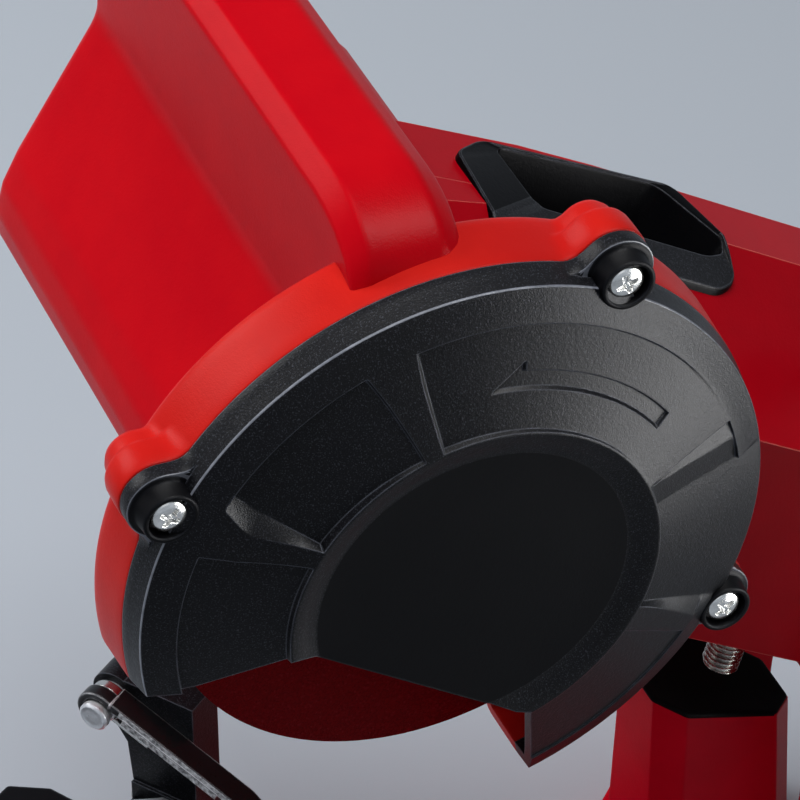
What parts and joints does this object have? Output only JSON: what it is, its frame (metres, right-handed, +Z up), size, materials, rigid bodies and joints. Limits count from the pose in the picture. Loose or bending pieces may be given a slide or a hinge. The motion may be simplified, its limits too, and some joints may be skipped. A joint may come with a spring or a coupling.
{
  "type": "electric chainsaw sharpener",
  "caption": "Bench-mounted electric grinder for chainsaw chains: a guarded wheel head on a rear hinge over a swivelling chain vise with a chain stop.",
  "frame": {"origin": "on the bench face, at the centre of the four bench bolts", "axes": "+X across, towards the wheel guard's black cover; +Y to the rear, towards the hinge; +Z up"},
  "size_m": [0.1803, 0.2273, 0.2647],
  "materials": {
    "red_shell": "semi-gloss moulded, fine grain",
    "black_moulding": "matte, fine grain",
    "red_base": "semi-gloss moulded",
    "grinding_red": "bonded ceramic, rough",
    "bright_steel": "zinc plated",
    "dark_chrome": "polished dark chrome",
    "rail_steel": "zinc plated, brushed",
    "black_rubber": "matte",
    "bronze_bush": "sintered",
    "copper_wire": "enamelled wire",
    "laminated_iron": "oiled laminations",
    "carbon": "graphite",
    "white_scale": "printed plate"
  },
  "bodies": {
    "base": {"base_housing": "red_base", "stop_pad": "black_rubber", "pivot_shaft": "bright_steel", "pivot_nuts": "bright_steel", "angle_scale": "white_scale"},
    "head": {"guard_shell": "red_shell", "guard_cover": "black_moulding", "cover_screws": "bright_steel", "motor_housing": "red_shell", "arm_shell_right": "red_shell", "arm_shell_left": "red_shell", "housing_screws": "bright_steel", "cord_gland": "black_rubber", "pivot_bushes": "bronze_bush", "return_spring": "bright_steel", "switch_housing": "black_moulding", "stop_insert": "bright_steel", "front_bearing": "bright_steel", "rear_bearing": "bright_steel", "stator_core": "laminated_iron", "stator_coils": "copper_wire", "carbon_brushes": "carbon", "brush_holders": "bronze_bush"},
    "wheel_set": {"grinding_wheel": "grinding_red", "inner_flange": "bright_steel", "outer_flange": "bright_steel", "spindle_nut": "bright_steel", "rotor_shaft": "bright_steel", "rotor_core": "laminated_iron", "rotor_coils": "copper_wire", "commutator": "copper_wire", "cooling_fan": "black_moulding"},
    "depth_stop": {"depth_screw": "bright_steel", "depth_knob": "black_moulding"},
    "rocker": {"rocker_switch": "black_moulding"},
    "vise": {"turntable": "rail_steel", "swivel_bolt": "bright_steel", "fixed_rail": "rail_steel", "rail_screws": "bright_steel", "guide_pins": "bright_steel", "clamp_stud": "bright_steel"},
    "vise_lock": {"lock_knob": "black_moulding"},
    "clamp_jaw": {"moving_rail": "rail_steel", "thrust_plate": "bright_steel"},
    "lever": {"clamp_lever": "dark_chrome", "lever_grip": "black_moulding"},
    "stop_carriage": {"stop_bracket": "black_moulding", "stop_pin": "bright_steel", "stop_spring": "bright_steel"},
    "pawl": {"stop_pawl": "dark_chrome"},
    "adjuster": {"adjust_screw": "bright_steel", "adjust_knob": "black_moulding"}
  },
  "joints": [
    {"name": "head_hinge", "type": "hinge", "parent": "base", "child": "head", "pos_m": [0, 0.08797, 0.10402], "axis": [1, 0, 0], "range_deg": [0, 15.5], "stiffness_Nm_per_rad": 2, "springref_deg": -91.67},
    {"name": "wheel_spin", "type": "hinge", "parent": "head", "child": "wheel_set", "pos_m": [0.04, -0.018, 0.19], "axis": [1, 0, 0], "continuous": true},
    {"name": "depth_stop_slide", "type": "slide", "parent": "head", "child": "depth_stop", "axis": [0, 0.2924, 0.9563], "range_m": [-0.005, 0.006]},
    {"name": "rocker_press", "type": "hinge", "parent": "head", "child": "rocker", "pos_m": [-0.0235, 0.031, 0.19936], "axis": [1, 0, 0], "range_deg": [0, 18]},
    {"name": "vise_swivel", "type": "hinge", "parent": "base", "child": "vise", "pos_m": [0.0266, -0.0386, 0.062], "axis": [0, 0, 1], "range_deg": [-70, 0]},
    {"name": "vise_lock_turn", "type": "hinge", "parent": "vise", "child": "vise_lock", "pos_m": [0.0266, -0.0386, 0.052], "axis": [0, 0, 1], "range_deg": [0, 180]},
    {"name": "clamp_lever_turn", "type": "hinge", "parent": "vise", "child": "lever", "pos_m": [0.02339, -0.05843, 0.091], "axis": [0, 0, 1], "range_deg": [0, 90]},
    {"name": "clamp_jaw_slide", "type": "slide", "parent": "vise", "child": "clamp_jaw", "axis": [0.5736, -0.8192, 0], "range_m": [0, 0.001]},
    {"name": "adjuster_turn", "type": "hinge", "parent": "vise", "child": "adjuster", "pos_m": [0.01828, -0.02672, 0.082], "axis": [0.8192, 0.5736, 0], "range_deg": [-1080, 1080]},
    {"name": "stop_carriage_slide", "type": "slide", "parent": "vise", "child": "stop_carriage", "axis": [0.8192, 0.5736, 0], "range_m": [-0.0024, 0.0024]},
    {"name": "pawl_lift", "type": "hinge", "parent": "stop_carriage", "child": "pawl", "pos_m": [-0.02194, -0.07039, 0.1141], "axis": [0.5736, -0.8192, 0], "range_deg": [0, 22], "stiffness_Nm_per_rad": 0.01, "springref_deg": -34.38}
  ],
  "couplings": [
    {"joint": "clamp_jaw_slide", "follows": "clamp_lever_turn", "m_per_rad": 0.00063662},
    {"joint": "stop_carriage_slide", "follows": "adjuster_turn", "m_per_rad": 0.00012732}
  ]
}
